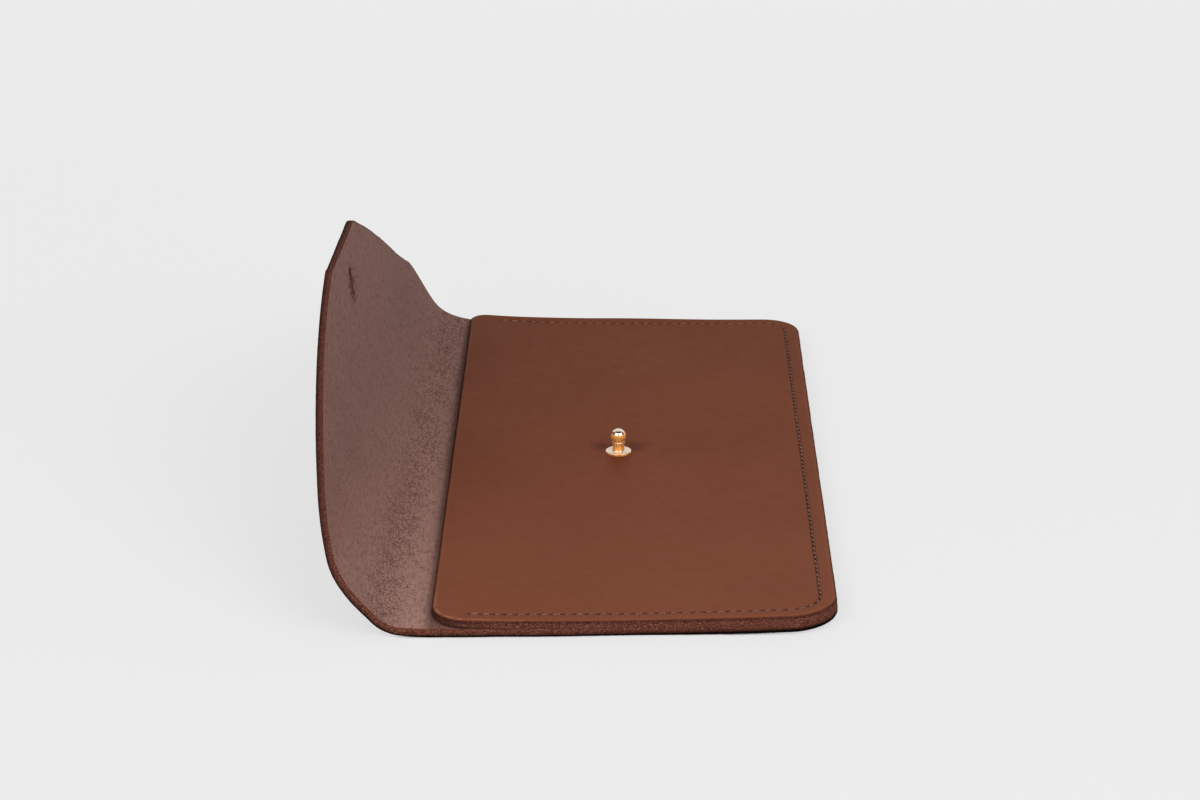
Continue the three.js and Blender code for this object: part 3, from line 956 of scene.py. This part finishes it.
def pale_floor(name):
    """A pale opal table that glows, so that shadows on it stay faint, with painted contact shade where the
    leather touches it.
    """
    g = Graph(bpy.data.materials.new(name))
    place = g.node("TexCoord", {}).outputs["Object"]
    _, depth, _ = g.parts(place)
    glow = g.span(depth, *FLOOR["depths"], *FLOOR["glow"])
    # Painted contact shade: the glow dims where the leather is close.
    open_share = g.node("AmbientOcclusion", {"Distance": FLOOR["contact"] * MM}, samples=8).outputs["AO"]
    glow = g.times(glow, g.math("POWER", g.span(open_share, 0.15, 1.0), 0.13))
    color = g.mix(g.noise(place, 0.4, 2.0), tone(107, 107, 107), tone(109, 109, 109))
    return g.surface(Base_Color=color, Roughness=0.9, Specular_IOR_Level=0.2,
                     Emission_Color=WHITE, Emission_Strength=glow)


# Light, floor and camera. The softboxes' places and sizes are in metres and their power in watts.
LIGHTS = (
    ("front_left", (-0.53, -0.75, 0.69), (0.96, 0.76), 10.4),
    ("front_right", (0.6, -0.69, 0.69), (0.96, 0.76), 10.4),
)
ROOM = {"far_wall": 0.78, "dark": 0.06, "narrowing": 0.35, "blend": 0.12}


def area_light(name, place, size, power):
    """A softbox that is aimed at the origin and stays out of the picture."""
    data = bpy.data.lights.new(name, "AREA")
    data.shape = "RECTANGLE"
    data.size, data.size_y = size
    data.energy = power
    light = add_object(name, data)
    light.location = place
    light.visible_camera = False
    light.rotation_mode = "QUATERNION"
    light.rotation_quaternion = Vector(place).to_track_quat("Z", "Y")


def room():
    """A white far wall, and darkness at the sides and behind the camera."""
    g = Graph(bpy.data.worlds.new("room"))
    aside, depth, _ = g.parts(g.node("TexCoord", {}).outputs["Generated"])
    seen = g.plus(depth, g.times(g.math("ABSOLUTE", aside, 0.0), -ROOM["narrowing"]))
    strength = g.span(seen, 0.0, ROOM["blend"], ROOM["dark"], ROOM["far_wall"])
    background = g.node("Background", {"Color": WHITE, "Strength": strength})
    g.node("OutputWorld", {"Surface": background.outputs["Background"]})
    return g.owner


def studio():
    bpy.context.scene.world = room()
    for name, place, size, power in LIGHTS:
        area_light(name, place, size, power)
    half = FLOOR["half"]
    corners = np.array([(-half, -half, 0.0), (half, -half, 0.0), (half, half, 0.0), (-half, half, 0.0)])
    floor = mesh_object("floor", corners, [(0, 1, 2, 3)], pale_floor("pale_floor"))
    floor.location.z = -FLOOR["drop"]


CAMERA = {"lens": 99.95, "place": (-1.6, -975.3, 387.9), "pitch": 20.55, "yaw": -0.55, "roll": -0.33,
          "sensor": 36.0}


def camera():
    """The photograph's view: turned by its yaw, tipped down by its pitch, then rolled about its axis."""
    pitch, yaw, roll = (math.radians(CAMERA[name]) for name in ("pitch", "yaw", "roll"))
    ahead = np.array([math.sin(yaw) * math.cos(pitch), math.cos(yaw) * math.cos(pitch), -math.sin(pitch)])
    level = np.array([math.cos(yaw), -math.sin(yaw), 0.0])
    upright = np.cross(level, ahead)
    right = math.cos(roll) * level + math.sin(roll) * upright
    up = -math.sin(roll) * level + math.cos(roll) * upright
    data = bpy.data.cameras.new("camera")
    data.sensor_width = CAMERA["sensor"]
    data.lens = CAMERA["lens"]
    made = add_object("camera", data)
    turned = Matrix([[*row] for row in np.stack([right, up, -ahead], 1)]).to_4x4()
    made.matrix_world = Matrix.Translation([MM * part for part in CAMERA["place"]]) @ turned
    bpy.context.scene.camera = made


camera()
studio()
bpy.context.scene.view_settings.view_transform = "Standard"

# Pieces.
OUTLINE_SPACING = SEAM["pitch"] / 8.0
grain = grain_leather("grain_leather")
flesh = flesh_leather("flesh_leather")

front_outline = front_loop(OUTLINE_SPACING)
seam = Seam(front_outline)
plain_rim = PLAIN_FACE + FLESH_RIM

front_maker = Panel(front_upper, front_lower, "top", seam, SEEDS["front_edge"])
stud_hole = round_hole_loop(STUD["p"], 0.0, STUD["hole_radius"], STUD["hole_sides"])
front_maker.build(front_outline, rim_rows(SEWN_FACE + GRAIN_RIM, plain_rim), [(stud_hole, stud_hole_rows())])
front_cut = cut_leather("front_cut", rim_depth=1.3, rim_share=0.62, under_shade=0.0, shaded=0.6)
front = front_maker.make("front_leather", [grain, front_cut, flesh])

back_maker = Panel(back_upper, back_lower, "bottom", seam, SEEDS["back_edge"])
back_outline = back_loop(OUTLINE_SPACING)
keyhole = (keyhole_loop(), rim_rows(KEYHOLE_RIM, KEYHOLE_RIM))
back_maker.build(back_outline, rim_rows(plain_rim, SEWN_FACE + OUTER_RIM), [keyhole], NEAR_FLARE["reach"])
back_cut = cut_leather("back_cut", rim_depth=1.6, rim_share=0.72, under_shade=1.0, shaded=0.0)
back = back_maker.make("back_leather", [flesh, back_cut, grain])

thread = seam_thread(seam, waxed_thread("waxed_thread"))

seat = np.array([[STUD["p"]], [0.0]])
stud_base = np.array([STUD["p"], 0.0, front_upper(*seat)[0]])
ball_from = stud_base[2] + BALL["middle"] - BALL["below_middle"]
stud = ball_stud(stud_base, brass("polished_brass", neck_rough=0.42, ball_rough=0.06, ball_from=ball_from))

screw = bpy.data.objects["stud_screw"]
screw.data.materials.clear()
screw.data.materials.append(brass("plain_brass", neck_rough=0.3, ball_rough=0.3, ball_from=ball_from))

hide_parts("front_panel")
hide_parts("back_panel")
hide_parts("stud")
slots = ((front, "front_leather"), (back, "back_leather"), (stud, "stud_brass"), (thread, "thread"))
for piece, slot in slots:
    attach(piece, "root")
